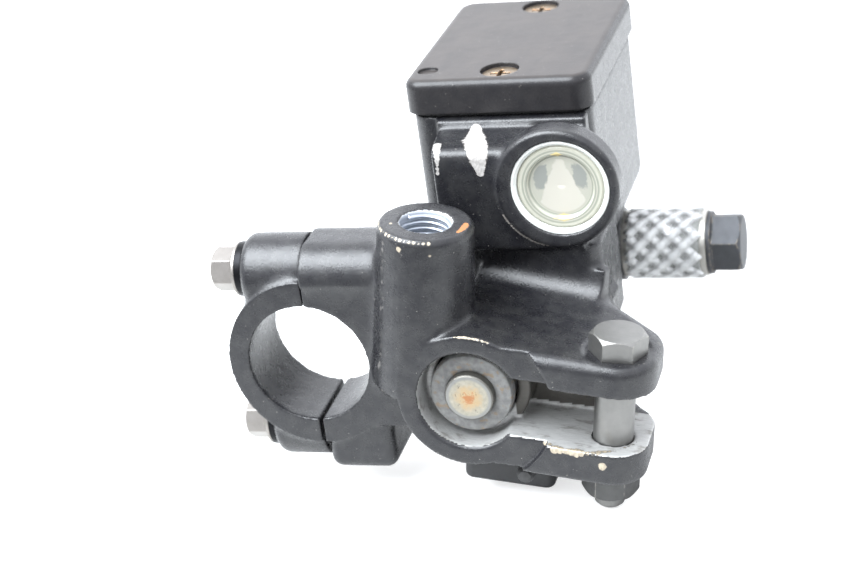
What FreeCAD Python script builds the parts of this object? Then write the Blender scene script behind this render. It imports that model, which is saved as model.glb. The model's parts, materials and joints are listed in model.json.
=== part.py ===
import FreeCAD, Part
import math
import os

# Brake master cylinder for a motorcycle handlebar, modelled in millimetres.
# Origin: on the handlebar axis, half way along the clamp.
# +Y runs along the handlebar and along the cylinder bore, away from the lever side.
# +X points from the handlebar towards the lever pivot, along the clamp bolts.
# +Z is the reservoir cover's normal. The lever group leans LEAN degrees from it about Y.

GAP = 0.05                    # play left between neighbouring pieces
LEAN = 8.3                    # lean of the lever group about Y, degrees

BAR_R = 12.7                  # handlebar of 25.4 mm
CLAMP_R = 18.3                # outside of the clamp ring
CLAMP_HALF = 9.0              # half of the clamp's width along the bar
SPLIT_X = 0.9                 # plane where cap and housing meet
CLAMP_BOLT_Z = 17.3           # clamp bolts above and below the bar axis
CAP_RING_X = 1.2              # centre of the cap's outside, nearer the housing than the bar
CAP_SEAT_X = {1: -12.7, -1: -11.2}    # outer faces of the cap's upper and lower lugs
CAP_LUG_R = 8.0
UPPER_LUG_TOP = 24.4
LUG_BULGE = 0.6               # the upper lug stands this far out of the clamp's flat sides
LOWER_LUG_END = 15.2
LOWER_LUG_Z = (-25.2, -14.2)
CLAMP_WASHER = (5.7, 1.5)     # radius, thickness
SPOTFACE_R = 6.1              # flat seats cut into the cap for the washers
M6_R = 3.0
CLAMP_BOLT_LENGTH = 24.0

BORE_X = 34.4                 # cylinder bore axis
BORE_Z = -4.8
BORE_R = 6.35                 # bore of 12.7 mm
MOUTH_Y = -15.7               # machined face round the bore mouth
MOUTH_FACE_R = 17.6
BOSS_R = 14.3
BARREL_R = 12.4
BARREL_END_Y = 67.0
BORE_END_Y = 62.5
COUNTERBORE = (10.3, -8.5)    # radius, floor
POCKET = (8.6, 4.0)           # radius, floor
POCKET_WALL_R = 11.2
SUPPLY_Y = 37.2               # ports between reservoir and bore
BYPASS_Y = 46.6
CUP_Y = 42.0                  # back of the primary cup

PIVOT = (63.2, -10.3)         # lever pivot in the leaning frame
PIVOT_R = 4.0                 # shoulder of the pivot bolt
EAR_TOP = 13.2
SLOT_TOP = 6.5
SLOT_BOTTOM = -6.0
SLOT_BACK_Y = -1.7
EAR_BOTTOM = -13.0
EAR_FRONT = 8.4               # from the pivot to the ears' front
UPPER_TIP_R = 8.1
LOWER_TIP_R = 7.3
NECK_LEFT = (22, 17.0)        # plan ends of the neck's front face
NECK_RIGHT = (58.0, 10.2)
NECK_TOP = 16.0
FOOT_R = 6.0

MIRROR = (23.5, -5.8)         # mirror thread axis in the leaning frame
MIRROR_TOP = 33.5
MIRROR_FOOT = -2.5
MIRROR_R = 9.6
MIRROR_THREAD_R = 5.0         # M10 x 1.25
MIRROR_DEPTH = 19.0

TANK_X = (17.7, 55.4)         # reservoir box
TANK_Y = (25.4, 76.6)
TANK_Z = (4.5, 39.25)
TANK_WALL = 2.8
TANK_FLOOR_Z = 10.0
COVER_X = (16.9, 56.1)
COVER_Y = (24.6, 77.4)
COVER_Z = (40.25, 47.35)
COVER_SCREW_R = 2.0
COVER_SCREW_Y = (30.8, 71.2)
DIAPHRAGM_CUP_X = (22.5, 51.3)
DIAPHRAGM_CUP_Y = (37.0, 64.0)
DIAPHRAGM_FLOOR_Z = 31.0

SIGHT = (51.5, 29.4)          # sight glass axis, X and Z
SIGHT_BOSS = (50.7, 29.05)    # the boss is cast a little off the glass axis
SIGHT_BOSS_R = 12.7
SIGHT_FACE_Y = 9.6
SIGHT_R = 10.0
SIGHT_PORT = (48.6, 29.4)     # drilling from the glass into the fluid, clear of the side wall
SIGHT_PORT_R = 3.0
SIGHT_SEAT_Y = 18.0           # floor of the seat behind the glass
SHOULDER_FRONT_Y = 10.6       # block in front of the reservoir that carries the sight glass
SHOULDER_Z = (15.6, 37.6)
SHOULDER_RIGHT = 55.0
RIM_Z = 39.2

OUTLET_Y = 58.5               # hose outlet, along X at the height of the bore
OUTLET_FACE_X = 53.3
OUTLET_BOSS_R = 8.2
OUTLET_BOLT_R = 5.0           # M10 x 1.25
SPACER_LENGTH = 16.0
WASHER_THICK = 1.3

SWITCH_X = (32.6, 51.4)       # brake light switch, in the leaning frame
SWITCH_Y = (-8.0, 18.0)
SWITCH_Z = (-22.3, -14.3)
PLUNGER = (46.0, -17.6)


def vec(x, y, z):
    return FreeCAD.Vector(x, y, z)


ORIGIN = vec(0, 0, 0)
ALONG_X = vec(1, 0, 0)
ALONG_Y = vec(0, 1, 0)
ALONG_Z = vec(0, 0, 1)


def lean(shape):
    """Turns a shape from the lever group's upright frame into the part's frame."""
    return shape.rotated(ORIGIN, ALONG_Y, LEAN)


def rod(start, axis, radius, length):
    return Part.makeCylinder(radius, length, vec(*start), axis)


def tube(start, axis, outer, inner, length):
    return rod(start, axis, outer, length).cut(rod(start, axis, inner, length))


def block(low, high):
    sides = [high[i] - low[i] for i in range(3)]
    return Part.makeBox(sides[0], sides[1], sides[2], vec(*low))


def merge(shapes):
    return shapes[0].multiFuse(shapes[1:]).removeSplitter()


def turned(profile, start, axis):
    """Solid of revolution from (height, radius) points, about an axis through start."""
    points = [vec(radius, 0, height) for height, radius in profile]
    face = Part.Face(Part.makePolygon(points + points[:1]))
    solid = face.revolve(ORIGIN, ALONG_Z, 360)
    solid.Placement = FreeCAD.Placement(vec(*start), FreeCAD.Rotation(ALONG_Z, axis))
    return solid


def outline(points, radii):
    """Closed wire through flat (x, y) points, each corner rounded by its own radius."""
    corners = [vec(x, y, 0) for x, y in points]
    count = len(corners)
    edges = []
    ends = []
    for i in range(count):
        corner = corners[i]
        before = (corners[i - 1] - corner).normalize()
        after = (corners[(i + 1) % count] - corner).normalize()
        half = before.getAngle(after) / 2
        reach = radii[i] / math.tan(half)
        middle = corner + (before + after).normalize() * (radii[i] / math.sin(half) - radii[i])
        ends.append((corner + before * reach, middle, corner + after * reach))
    for i in range(count):
        if radii[i] > 0:
            edges.append(Part.Arc(*ends[i]).toShape())
        edges.append(Part.makeLine(ends[i][2], ends[(i + 1) % count][0]))
    return Part.Wire(edges)


def prism(points, radii, low, high):
    """Upright prism between two heights on a rounded outline."""
    if not isinstance(radii, (list, tuple)):
        radii = [radii] * len(points)
    solid = Part.Face(outline(points, radii)).extrude(vec(0, 0, high - low))
    solid.translate(vec(0, 0, low))
    return solid


def rounded_box(x, y, z, radius):
    corners = [(x[0], y[0]), (x[1], y[0]), (x[1], y[1]), (x[0], y[1])]
    return prism(corners, radius, z[0], z[1])


def edges_where(shape, test):
    """The edges of a shape whose middle point passes a test."""
    return [edge for edge in shape.Edges if test(edge.CenterOfMass)]


def rounded(shape, radius, test):
    return shape.makeFillet(radius, edges_where(shape, test))


def hexagon(start, axis, across_flats, height, turn=0.0):
    """Hexagonal head with its outer corners eased, standing from start along axis."""
    corner_r = across_flats / math.sqrt(3)
    angles = [math.radians(60 * i + turn) for i in range(6)]
    points = [(corner_r * math.cos(a), corner_r * math.sin(a)) for a in angles]
    head = prism(points, 0, 0, height)
    ease = 0.14 * across_flats / 2
    top_r = across_flats / 2 - 0.15
    crown = [(0, 0), (0, corner_r), (height - ease, corner_r), (height, top_r), (height, 0)]
    head = head.common(turned(crown, (0, 0, 0), ALONG_Z))
    head.Placement = FreeCAD.Placement(vec(*start), FreeCAD.Rotation(ALONG_Z, axis))
    return head


# ---------------------------------------------------------------- housing

def along_x(points, radii, start, end):
    """Bar along X between two planes, on a rounded outline of (y, z) points."""
    bar = prism(points, radii, start, end)
    bar.rotate(ORIGIN, vec(1, 1, 1), 120)
    return bar


def clamp_half():
    ring = rod((0, -CLAMP_HALF, 0), ALONG_Y, CLAMP_R, 2 * CLAMP_HALF)
    half = CLAMP_HALF + LUG_BULGE
    foot = CLAMP_BOLT_Z - 0.3
    top_points = [(-half, foot), (half, foot), (half, UPPER_LUG_TOP), (-half, UPPER_LUG_TOP)]
    upper = along_x(top_points, [0, 0, 7.0, 7.0], SPLIT_X, 26)
    lower = rounded_box((SPLIT_X, LOWER_LUG_END), (-8.2, 8.2), LOWER_LUG_Z, 2.2)
    lower = rounded(lower, 2.6, lambda p: p.z < LOWER_LUG_Z[0] + 0.1)
    web = block((SPLIT_X, -CLAMP_HALF, LOWER_LUG_Z[1]), (28, CLAMP_HALF, foot + 1))
    shape = merge([ring, upper, lower, web])
    return shape.cut(block((-40, -30, -40), (SPLIT_X, 30, 40)))


def mirror_boss():
    height = MIRROR_TOP - MIRROR_FOOT
    profile = [(0, 0), (0, MIRROR_R - 0.2), (1.5, MIRROR_R + 0.7), (height - 1.0, MIRROR_R),
               (height, MIRROR_R - 0.7), (height, 0)]
    return lean(turned(profile, (MIRROR[0], MIRROR[1], MIRROR_FOOT), ALONG_Z))


def barrel():
    front = rod((BORE_X, MOUTH_Y, BORE_Z), ALONG_Y, BOSS_R, 24)
    rear_profile = [(0, 0), (0, BARREL_R), (BARREL_END_Y - 2.5, BARREL_R),
                    (BARREL_END_Y, BARREL_R - 2.5), (BARREL_END_Y, 0)]
    rear = turned(rear_profile, (BORE_X, 0, BORE_Z), ALONG_Y)
    outlet = rod((BORE_X, OUTLET_Y, BORE_Z), ALONG_X, OUTLET_BOSS_R, OUTLET_FACE_X - BORE_X)
    return merge([front, rear, outlet])


def ear_outline(tip_r):
    """Plan outline of an ear with its rounded tip round the pivot, and its corner radii."""
    tip_x = PIVOT[0] + tip_r
    front = PIVOT[1] - EAR_FRONT
    points = [(30, MOUTH_Y), (46, front + 1.0), (tip_x, front), (tip_x, -1.5), (58.2, 11),
              (58.2, 20), (30, 20)]
    return points, [0, 8, tip_r - 0.2, 7.5, 9, 0, 0]


def ears():
    middle = (SLOT_TOP + SLOT_BOTTOM) / 2
    points, radii = ear_outline(UPPER_TIP_R)
    upper = prism(points, radii, middle, EAR_TOP)
    upper = rounded(upper, 2.4, lambda p: p.z > EAR_TOP - 0.1 and p.x > 40 and p.y < 18)
    points, radii = ear_outline(LOWER_TIP_R)
    lower = prism(points, radii, EAR_BOTTOM, middle)
    lower = rounded(lower, 1.2, lambda p: p.z < EAR_BOTTOM + 0.1 and p.x > 40 and p.y < 18)
    return lean(merge([upper, lower]))


def ear_foot():
    """Hollow fillet that carries the neck's front face down into the upper ear's top."""
    front_y = NECK_RIGHT[1]
    start_y = front_y - FOOT_R
    wedge = block((30, start_y, EAR_TOP - 3), (NECK_RIGHT[0] - 1.5, front_y + 3, EAR_TOP + FOOT_R))
    wedge = wedge.cut(rod((20, start_y, EAR_TOP + FOOT_R), ALONG_X, FOOT_R, 50))
    turn = math.degrees(math.atan2(NECK_LEFT[1] - front_y, NECK_RIGHT[0] - NECK_LEFT[0]))
    return lean(wedge.rotated(vec(*NECK_RIGHT, 0), ALONG_Z, -turn))


def neck():
    points = [NECK_LEFT, NECK_RIGHT, (57.4, 32), (22, 32)]
    return prism(points, [0, 4, 0, 0], -6, NECK_TOP)


def tank_box():
    box = rounded_box(TANK_X, TANK_Y, TANK_Z, 4.5)
    return rounded(box, 4.0, lambda p: p.z < TANK_Z[0] + 0.1)


def shoulder():
    """Block below the cover's near side: a flat ledge, a plain front and a rim against the reservoir."""
    low, high = SHOULDER_Z
    back = TANK_Y[0] + 1.1
    profile = [(back, low), (back, RIM_Z), (23.2, RIM_Z), (23.2, high - 0.3), (SHOULDER_FRONT_Y, high),
               (SHOULDER_FRONT_Y, low)]
    bar = along_x(profile, [0, 0, 0.8, 0, 2.0, 1.0], 20, SHOULDER_RIGHT)
    left = [(19, 28), (23.2, 28), (25.8, 10), (19, 10)]
    return bar.cut(prism(left, 0, 0, 60))


def sight_boss():
    """Short round boss round the sight glass, tapering back into the reservoir."""
    profile = [(0, 0), (0, SIGHT_BOSS_R - 0.7), (0.7, SIGHT_BOSS_R), (5.4, SIGHT_BOSS_R), (12.3, 7.5),
               (17, 7.5), (17, 0)]
    return turned(profile, (SIGHT_BOSS[0], SIGHT_FACE_Y, SIGHT_BOSS[1]), ALONG_Y)


def switch_pad():
    x = (SWITCH_X[0] + 1.5, SWITCH_X[1] - 1.5)
    return lean(rounded_box(x, (-6, 16.5), (SWITCH_Z[1] + GAP, -4), 1.5))


def screw_posts():
    x = (TANK_X[0] + TANK_X[1]) / 2
    z = (TANK_FLOOR_Z - 1, TANK_Z[1])
    near = rounded_box((x - 5, x + 5), (TANK_Y[0] + 1, COVER_SCREW_Y[0] + 4.6), z, 2)
    far = rounded_box((x - 5, x + 5), (COVER_SCREW_Y[1] - 4.6, TANK_Y[1] - 1), z, 2)
    return near, far


def bore_cut():
    """Counterbore, boot pocket, circlip groove, piston bore and outlet drilling."""
    rim_r = COUNTERBORE[0] + 0.6
    profile = [(MOUTH_Y - 1, 0), (MOUTH_Y - 1, rim_r), (MOUTH_Y, rim_r), (MOUTH_Y + 0.6, COUNTERBORE[0]),
               (COUNTERBORE[1], COUNTERBORE[0]), (COUNTERBORE[1], POCKET[0]),
               (1.8, POCKET[0]), (1.8, 9.3), (3.0, 9.3), (3.0, POCKET[0]), (POCKET[1], POCKET[0]),
               (POCKET[1], BORE_R), (BORE_END_Y, BORE_R), (BORE_END_Y + 1.5, 0)]
    bore = turned(profile, (BORE_X, 0, BORE_Z), ALONG_Y)
    thread = rod((OUTLET_FACE_X - 10.5, OUTLET_Y, BORE_Z), ALONG_X, OUTLET_BOLT_R, 30)
    feed = rod((BORE_X, OUTLET_Y, BORE_Z), ALONG_X, 1.6, 20)
    supply = rod((BORE_X, SUPPLY_Y, BORE_Z), ALONG_Z, 1.2, 30)
    bypass = rod((BORE_X, BYPASS_Y, BORE_Z), ALONG_Z, 0.4, 30)
    return [bore, thread, feed, supply, bypass]


def mouth_face_cut():
    """Clears the machined face round the bore mouth, which bites into the ears' roots."""
    return [rod((BORE_X, MOUTH_Y - 20, BORE_Z), ALONG_Y, MOUTH_FACE_R, 20)]


def clamp_cut():
    bar = rod((0, -30, 0), ALONG_Y, BAR_R, 60)
    holes = [rod((-30, 0, side * CLAMP_BOLT_Z), ALONG_X, M6_R + GAP, 43) for side in (-1, 1)]
    return [bar] + holes


def lever_slot():
    """Slot for the lever between the ears. It opens the counterbore's side, behind it a wall
    is left round the boot's pocket."""
    points = [(33, -40), (90, -40), (90, 40), (66, 40), (60.5, SLOT_BACK_Y), (33, SLOT_BACK_Y)]
    slot = prism(points, [0, 0, 0, 0, 3, 0], SLOT_BOTTOM, SLOT_TOP)
    pocket_wall = rod((BORE_X, COUNTERBORE[1], BORE_Z), ALONG_Y, POCKET_WALL_R, 20)
    return lean(slot).cut(pocket_wall)


def lever_cut():
    pivot = rod((PIVOT[0], PIVOT[1], -30), ALONG_Z, PIVOT_R + GAP, 60)
    seat = rod((PIVOT[0], PIVOT[1], EAR_TOP - 0.3), ALONG_Z, 7.0, 10)
    mirror_profile = [(-MIRROR_DEPTH - 2.5, 0), (-MIRROR_DEPTH, MIRROR_THREAD_R),
                      (-0.3, MIRROR_THREAD_R), (0, MIRROR_THREAD_R + 0.3),
                      (1, MIRROR_THREAD_R + 0.3), (1, 0)]
    mirror = turned(mirror_profile, (MIRROR[0], MIRROR[1], MIRROR_TOP), ALONG_Z)
    switch_x = sum(SWITCH_X) / 2
    switch_hole = rod((switch_x, 9, SWITCH_Z[1]), ALONG_Z, 1.7, 7.5)
    return [lean(cut) for cut in (pivot, seat, mirror, switch_hole)]


def tank_cut():
    x = (TANK_X[0] + TANK_WALL, TANK_X[1] - TANK_WALL)
    y = (TANK_Y[0] + TANK_WALL, TANK_Y[1] - TANK_WALL)
    cavity = rounded_box(x, y, (TANK_FLOOR_Z, TANK_Z[1] + 1), 2.5)
    near, far = screw_posts()
    return cavity.cut(near).cut(far)


def screw_holes():
    x = (TANK_X[0] + TANK_X[1]) / 2
    return [rod((x, y, TANK_Z[1] - 13), ALONG_Z, COVER_SCREW_R + GAP, 20) for y in COVER_SCREW_Y]


def sight_cut():
    """Stepped seat for the glass, and the port behind it that lets the fluid in."""
    profile = [(SIGHT_FACE_Y - 1, 0), (SIGHT_FACE_Y - 1, SIGHT_R), (15.5, SIGHT_R), (15.5, 7.6),
               (SIGHT_SEAT_Y, 7.6), (SIGHT_SEAT_Y, 0)]
    seat = turned(profile, (SIGHT[0], 0, SIGHT[1]), ALONG_Y)
    reach = TANK_Y[0] + TANK_WALL + 1.3 - SIGHT_SEAT_Y
    port = rod((SIGHT_PORT[0], SIGHT_SEAT_Y - 1, SIGHT_PORT[1]), ALONG_Y, SIGHT_PORT_R, reach + 1)
    return [seat, port]


def housing():
    solid = merge([clamp_half(), mirror_boss(), barrel(), ears(), ear_foot(), neck(), tank_box(),
                   shoulder(), sight_boss(), switch_pad()])
    cuts = clamp_cut() + mouth_face_cut() + lever_cut() + bore_cut() + screw_holes()
    cuts += [lever_slot(), tank_cut()] + sight_cut()
    return solid.cut(cuts)


# ---------------------------------------------------------------- clamp

def clamp_cap():
    ring = rod((CAP_RING_X, -CLAMP_HALF, 0), ALONG_Y, CLAMP_R, 2 * CLAMP_HALF)
    lugs = []
    for side in (-1, 1):
        lug = rod((CAP_SEAT_X[side], 0, side * (CLAMP_BOLT_Z - 0.6)), ALONG_X, CAP_LUG_R, 20)
        lugs.append(rounded(lug, 2.2, lambda p: p.x < CAP_SEAT_X[side] + 0.1))
    cap = merge([ring] + lugs)
    cap = cap.cut(block((SPLIT_X - GAP, -30, 0), (60, 30, 60)))
    cap = cap.cut(block((SPLIT_X - 0.6, -30, -60), (60, 30, 0)))
    seats = [rod((CAP_SEAT_X[side], 0, side * CLAMP_BOLT_Z), vec(-1, 0, 0), SPOTFACE_R, 10)
             for side in (-1, 1)]
    return cap.cut(clamp_cut() + seats)


def clamp_washers():
    radius, thick = CLAMP_WASHER
    washers = []
    for side in (-1, 1):
        start = (CAP_SEAT_X[side] - thick, 0, side * CLAMP_BOLT_Z)
        washers.append(tube(start, ALONG_X, radius, M6_R + 0.2, thick - 0.02))
    return Part.makeCompound(washers)


def clamp_bolts():
    """M6 flange bolts through the cap into the housing."""
    bolts = []
    for side in (-1, 1):
        seat = CAP_SEAT_X[side] - CLAMP_WASHER[1]
        z = side * CLAMP_BOLT_Z
        profile = [(0, 0), (0, 5.6), (0.6, 5.6), (1.3, 4.4), (1.3, 0)]
        flange = turned(profile, (seat, 0, z), vec(-1, 0, 0))
        head = hexagon((seat - 1.0, 0, z), vec(-1, 0, 0), 8.0, 4.7, 15)
        shank = rod((seat, 0, z), ALONG_X, M6_R, CLAMP_BOLT_LENGTH)
        bolts.append(merge([flange, head, shank]))
    return Part.makeCompound(bolts)


# ---------------------------------------------------------------- lever pivot

def pivot_bolt():
    """Shoulder bolt: 8 mm shoulder between the ears, M6 thread below for the nut."""
    head = hexagon((PIVOT[0], PIVOT[1], EAR_TOP - 0.3), ALONG_Z, 10.0, 4.3, 8)
    length = EAR_TOP - 0.3 - EAR_BOTTOM
    shank = rod((PIVOT[0], PIVOT[1], EAR_BOTTOM), ALONG_Z, PIVOT_R, length)
    thread = rod((PIVOT[0], PIVOT[1], EAR_BOTTOM - 8.2), ALONG_Z, M6_R, 9)
    thread = thread.makeChamfer(0.6, edges_where(thread, lambda p: p.z < EAR_BOTTOM - 8.1))
    return lean(merge([head, shank, thread]))


def pivot_nut():
    nut = hexagon((PIVOT[0], PIVOT[1], EAR_BOTTOM - 0.02), vec(0, 0, -1), 10.0, 5.2, 52)
    hole = rod((PIVOT[0], PIVOT[1], EAR_BOTTOM - 8), ALONG_Z, M6_R + GAP, 10)
    return lean(nut.cut(hole))


# ---------------------------------------------------------------- reservoir

def reservoir_cover():
    cover = rounded_box(COVER_X, COVER_Y, COVER_Z, 4.0)
    cover = rounded(cover, 1.8, lambda p: p.z > COVER_Z[1] - 0.1)
    recess = rounded_box((22, 52), (36, 65.2), (COVER_Z[0] - 1, COVER_Z[0] + 3.2), 3)
    x = sum(TANK_X) / 2
    cuts = [recess]
    for y in COVER_SCREW_Y:
        profile = [(COVER_Z[0] - 1, 0), (COVER_Z[0] - 1, 2.2), (COVER_Z[1] - 3.2, 2.2),
                   (COVER_Z[1] - 0.9, 4.1), (COVER_Z[1] + 1, 4.1), (COVER_Z[1] + 1, 0)]
        cuts.append(turned(profile, (x, y, 0), ALONG_Z))
    cuts.append(rod((COVER_X[0] + 4.2, COVER_Y[0] + 6.8, COVER_Z[1] - 0.6), ALONG_Z, 2.2, 5))
    return cover.cut(cuts)


def cover_screws():
    """M4 countersunk screws with a cross recess."""
    x = sum(TANK_X) / 2
    top = COVER_Z[1] - 0.85
    screws = []
    for y in COVER_SCREW_Y:
        profile = [(top - 16, 0), (top - 16, COVER_SCREW_R), (top - 2.3, COVER_SCREW_R),
                   (top - 0.3, 3.8), (top, 3.8), (top, 0)]
        screw = turned(profile, (x, y, 0), ALONG_Z)
        slots = [block((x - 2.1, y - 0.45, top - 1.3), (x + 2.1, y + 0.45, top + 1)),
                 block((x - 0.45, y - 2.1, top - 1.3), (x + 0.45, y + 2.1, top + 1))]
        screws.append(screw.cut(slots))
    return Part.makeCompound(screws)


def diaphragm():
    """Rubber diaphragm: a flat rim clamped under the cover and a cup hanging in the fluid."""
    z = (TANK_Z[1] + 0.02, COVER_Z[0] - 0.02)
    rim_x = (TANK_X[0] + 0.8, TANK_X[1] - 0.8)
    rim_y = (TANK_Y[0] + 0.8, TANK_Y[1] - 0.8)
    rim = rounded_box(rim_x, rim_y, z, 3.5)
    cup = rounded_box(DIAPHRAGM_CUP_X, DIAPHRAGM_CUP_Y, (DIAPHRAGM_FLOOR_Z, z[1]), 4)
    hollow_x = (DIAPHRAGM_CUP_X[0] + 1, DIAPHRAGM_CUP_X[1] - 1)
    hollow_y = (DIAPHRAGM_CUP_Y[0] + 1, DIAPHRAGM_CUP_Y[1] - 1)
    hollow = rounded_box(hollow_x, hollow_y, (DIAPHRAGM_FLOOR_Z + 1, z[1] + 1), 3)
    x = sum(TANK_X) / 2
    holes = [rod((x, y, z[0] - 1), ALONG_Z, COVER_SCREW_R + 0.2, 4) for y in COVER_SCREW_Y]
    return merge([rim, cup]).cut([hollow] + holes)


def diaphragm_plate():
    """Stiff plate between cover and diaphragm, with a vent hole."""
    z = (COVER_Z[0] + GAP, COVER_Z[0] + 1.5)
    plate = rounded_box((22.4, 51.6), (36.4, 64.8), z, 2.8)
    return plate.cut(rod((36, 44, z[0] - 1), ALONG_Z, 1.0, 4))


def port_baffle():
    """Small folded sheet over the two ports in the reservoir floor."""
    floor = TANK_FLOOR_Z + 0.01
    y = (SUPPLY_Y - 1.0, BYPASS_Y + 3.0)
    roof = block((BORE_X - 3.6, y[0], floor + 2.0), (BORE_X + 3.6, y[1], floor + 2.6))
    pieces = [roof]
    for side in (-1, 1):
        wall_x = BORE_X + side * 3.3
        foot_x = BORE_X + side * 4.8
        pieces.append(block((wall_x - 0.3, y[0], floor), (wall_x + 0.3, y[1], floor + 2.6)))
        pieces.append(block((foot_x - 1.5, y[0], floor), (foot_x + 1.5, y[1], floor + 0.6)))
    return merge(pieces)


# ---------------------------------------------------------------- sight glass

def sight_glass_ring():
    outer = SIGHT_R - 0.03
    profile = [(0.35, outer), (0.35, 9.5), (0.9, 8.95), (5.9 - GAP, 8.95), (5.9 - GAP, outer)]
    return turned(profile, (SIGHT[0], SIGHT_FACE_Y, SIGHT[1]), ALONG_Y)


def sight_glass_lens():
    """Clear plug with a raised rim and a stepped window."""
    profile = [(1.9, 0), (1.7, 6.4), (1.0, 7.0), (1.0, 8.4), (1.4, 8.9), (4.4, 8.9), (4.4, 0)]
    return turned(profile, (SIGHT[0], SIGHT_FACE_Y, SIGHT[1]), ALONG_Y)


def sight_glass_seal():
    return tube((SIGHT[0], SIGHT_FACE_Y + 4.45, SIGHT[1]), ALONG_Y, 8.9, 7.5, 1.4)


def sight_glass_reflector():
    """Pale disc with three lobes that shows the fluid level through the lens."""
    start = (SIGHT[0], SIGHT_FACE_Y + 6.6, SIGHT[1])
    disc = rod(start, ALONG_Y, 7.5, 1.2)
    for angle in (30, 150, 270):
        a = math.radians(angle)
        center = (SIGHT[0] + 6.2 * math.cos(a), start[1] - 1, SIGHT[1] + 6.2 * math.sin(a))
        disc = disc.cut(rod(center, ALONG_Y, 1.7, 4))
    return disc


# ---------------------------------------------------------------- piston group

def piston():
    rod_r = 4.95
    land = BORE_R - 0.05
    profile = [(MOUTH_Y + 1.5, 0), (MOUTH_Y + 1.5, rod_r - 0.3), (MOUTH_Y + 1.8, rod_r),
               (POCKET[1] + GAP, rod_r), (POCKET[1] + GAP, land), (7.0, land), (7.0, 4.4), (9.6, 4.4),
               (9.6, land), (11.0, land), (13.0, 4.6), (CUP_Y - 3, 4.6), (CUP_Y - 1.8, land),
               (CUP_Y, land), (CUP_Y, 3.0), (CUP_Y + 7, 3.0), (CUP_Y + 7, 0)]
    return turned(profile, (BORE_X, 0, BORE_Z), ALONG_Y)


def cup_seal(start, inner, length):
    """Rubber cup with its lip open towards the pressure side."""
    outer = BORE_R - 0.02
    profile = [(0, inner), (0, outer - 0.3), (0.8, outer - 0.3), (length, outer), (length, outer - 0.9),
               (1.4, outer - 1.2), (1.4, inner)]
    return turned(profile, (BORE_X, start, BORE_Z), ALONG_Y)


def primary_cup():
    return cup_seal(CUP_Y + 0.02, 3.0 + 0.02, 3.6)


def secondary_cup():
    return cup_seal(7.0 + 0.02, 4.4 + 0.02, 2.5)


def return_spring():
    """Coil spring between the primary cup and the blind end of the bore."""
    wire_r = 0.45
    start = CUP_Y + 1.6
    length = BORE_END_Y - start - 2 * wire_r
    coil_r = 4.3
    turns = 6
    helix = Part.makeHelix(length / turns, length, coil_r)
    section = Part.Wire(Part.makeCircle(wire_r, vec(coil_r, 0, 0), ALONG_Y))
    coil = Part.Wire(helix.Edges).makePipeShell([section], True, True)
    place = vec(BORE_X, start + wire_r, BORE_Z)
    coil.Placement = FreeCAD.Placement(place, FreeCAD.Rotation(ALONG_Z, ALONG_Y))
    return coil


def stop_washer():
    return tube((BORE_X, 3.05, BORE_Z), ALONG_Y, POCKET[0] - GAP, 5.05, POCKET[1] - 3.05 - 0.02)


def circlip():
    """Internal retaining ring with a gap at the bottom."""
    start_y = 1.85
    ring = tube((BORE_X, start_y, BORE_Z), ALONG_Y, 9.25, 6.9, 1.1)
    return ring.cut(block((BORE_X - 2.2, 0, BORE_Z - 12), (BORE_X + 2.2, 5, BORE_Z)))


def dust_boot():
    """Bellows boot: bead in the pocket, folds, and a face that grips the piston's end."""
    grip = 4.95 + 0.02
    face_y = MOUTH_Y + 3.4
    outside = [(face_y, grip), (face_y, 8.0), (face_y + 0.5, 8.4), (face_y + 3.0, 8.4), (-7.6, 6.6),
               (-5.6, 8.3), (-3.8, 6.6), (-1.8, 8.3), (0, 8.5), (1.75, 8.5)]
    inside = [(1.75, 7.2), (-1.2, 7.2), (-3.8, 5.6), (-5.6, 7.2), (-7.6, 5.6), (face_y + 2.2, 7.0),
              (face_y + 1.4, 7.0), (face_y + 1.4, grip)]
    profile = outside + inside
    return turned(profile, (BORE_X, 0, BORE_Z), ALONG_Y)


# ---------------------------------------------------------------- outlet

def outlet_washers():
    starts = (OUTLET_FACE_X + 0.01, OUTLET_FACE_X + 2 * 0.01 + WASHER_THICK + SPACER_LENGTH + 0.01)
    washers = [tube((x, OUTLET_Y, BORE_Z), ALONG_X, 7.4, OUTLET_BOLT_R + 0.1, WASHER_THICK) for x in starts]
    return Part.makeCompound(washers)


def outlet_spacer():
    x = OUTLET_FACE_X + WASHER_THICK + 0.02
    return tube((x, OUTLET_Y, BORE_Z), ALONG_X, 7.6, 5.3, SPACER_LENGTH)


def outlet_braid():
    x = OUTLET_FACE_X + WASHER_THICK + 0.02
    return tube((x, OUTLET_Y, BORE_Z), ALONG_X, 8.1, 7.62, SPACER_LENGTH)


def outlet_bolt():
    """Hollow M10 bolt with a flange, screwed into the outlet through washers and spacer."""
    seat = OUTLET_FACE_X + 2 * WASHER_THICK + SPACER_LENGTH + 0.05
    flange_profile = [(0, 0), (0, 7.0), (0.9, 7.0), (1.3, 6.4), (1.3, 0)]
    flange = turned(flange_profile, (seat, OUTLET_Y, BORE_Z), ALONG_X)
    head = hexagon((seat + 1.2, OUTLET_Y, BORE_Z), ALONG_X, 12.0, 6.4, 10)
    start = OUTLET_FACE_X - 9.5
    shank = rod((start, OUTLET_Y, BORE_Z), ALONG_X, OUTLET_BOLT_R - GAP, seat - start)
    drilling = rod((start - 1, OUTLET_Y, BORE_Z), ALONG_X, 1.6, 20)
    return merge([flange, head, shank]).cut(drilling)


# ---------------------------------------------------------------- brake light switch

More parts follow.
